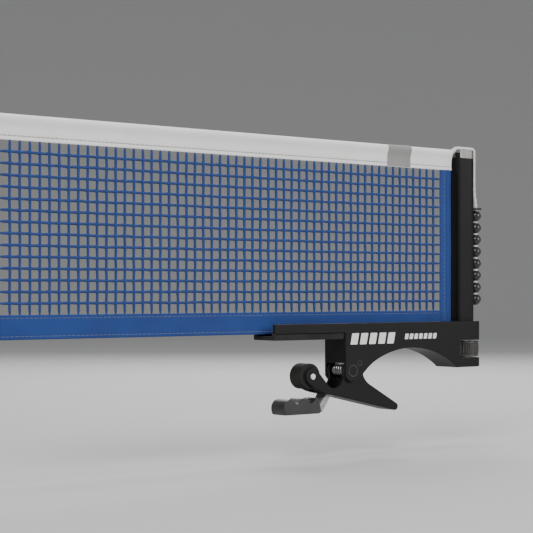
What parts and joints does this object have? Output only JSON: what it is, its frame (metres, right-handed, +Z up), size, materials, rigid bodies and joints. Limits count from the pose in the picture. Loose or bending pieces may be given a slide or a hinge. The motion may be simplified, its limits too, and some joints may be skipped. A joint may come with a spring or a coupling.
{
  "type": "table tennis net clamp",
  "caption": "Spring clip clamp with a lever and roller jaw, height-adjusting post, beaded tension cord and the end section of its net, for one side of a table tennis table.",
  "frame": {"origin": "on the face that meets the table's edge, level with the table's top, in the clamp's middle plane", "axes": "+X outward from the table along the arm to the post, +Z up; the net runs along -X and the front is -Y"},
  "size_m": [0.4915, 0.0274, 0.2161],
  "materials": {
    "frame_black": "satin powder coat",
    "post_black": "satin powder coat",
    "rubber_black": "matte",
    "bright_steel": "polished",
    "plain_steel": "zinc plated",
    "spring_steel": "drawn wire",
    "nylon": "natural nylon",
    "grip_plastic": "fine grain",
    "nut_metal": "dark knurled metal",
    "cap_grey": "satin",
    "tape_white": "coated woven tape",
    "label_grey": "woven label",
    "mesh_blue": "knotless cord mesh",
    "hem_blue": "woven hem",
    "cord_white": "braided cord",
    "bead_black": "moulded",
    "batten": "glass-fibre rod"
  },
  "bodies": {
    "frame": {"clamp_frame": "frame_black", "upper_pad": "rubber_black", "lever_pivot_pin": "frame_black", "pivot_washers": "nylon", "pivot_bush": "nylon", "lever_stop_rivet": "frame_black", "torsion_spring": "spring_steel", "nut_washers": "plain_steel"},
    "lever": {"clamp_lever": "frame_black", "grip_shank": "bright_steel", "finger_grip": "grip_plastic", "roller_pin": "bright_steel"},
    "roller": {"roller_hub": "nylon", "roller_tyre": "rubber_black"},
    "nut": {"height_nut": "nut_metal"},
    "post": {"adjusting_stud": "plain_steel", "post_foot": "plain_steel", "foot_pin": "plain_steel", "post_tube": "post_black", "post_cap": "cap_grey", "cord_lock_plate": "post_black", "net_mesh": "mesh_blue", "top_tape": "tape_white", "net_label": "label_grey", "bottom_hem": "hem_blue", "side_hem": "hem_blue", "side_batten": "batten", "far_hem": "hem_blue", "far_batten": "batten", "net_cord": "cord_white", "far_loop": "cord_white", "far_ferrule": "plain_steel", "cord_bead_1": "bead_black"},
    "tail": {"tail_cord": "cord_white", "cord_bead_2": "bead_black", "cord_bead_3": "bead_black", "cord_bead_4": "bead_black", "cord_bead_5": "bead_black", "cord_bead_6": "bead_black", "cord_bead_7": "bead_black", "cord_bead_8": "bead_black"}
  },
  "joints": [
    {"name": "lever_hinge", "type": "hinge", "parent": "frame", "child": "lever", "pos_m": [0.008, 0, -0.0245], "axis": [0, -1, 0], "range_deg": [0, 40], "stiffness_Nm_per_rad": 1.2, "springref_deg": -34.38, "deforming": ["torsion_spring"]},
    {"name": "roller_spin", "type": "hinge", "parent": "lever", "child": "roller", "pos_m": [-0.0305, 0, -0.0278], "axis": [0, -1, 0], "continuous": true},
    {"name": "nut_turn", "type": "hinge", "parent": "frame", "child": "nut", "pos_m": [0.1399, 0, -0.01075], "axis": [0, 0, -1], "range_deg": [-360, 1800]},
    {"name": "post_slide", "type": "slide", "parent": "frame", "child": "post", "axis": [0, 0, 1], "range_m": [-0.00125, 0.00625]},
    {"name": "tail_swing", "type": "hinge", "parent": "post", "child": "tail", "pos_m": [0.1557, 0, 0.0988], "axis": [0, -1, 0], "range_deg": [0, 80]}
  ],
  "couplings": [
    {"joint": "nut_turn", "follows": "post_slide", "rad_per_m": 5026.5}
  ]
}
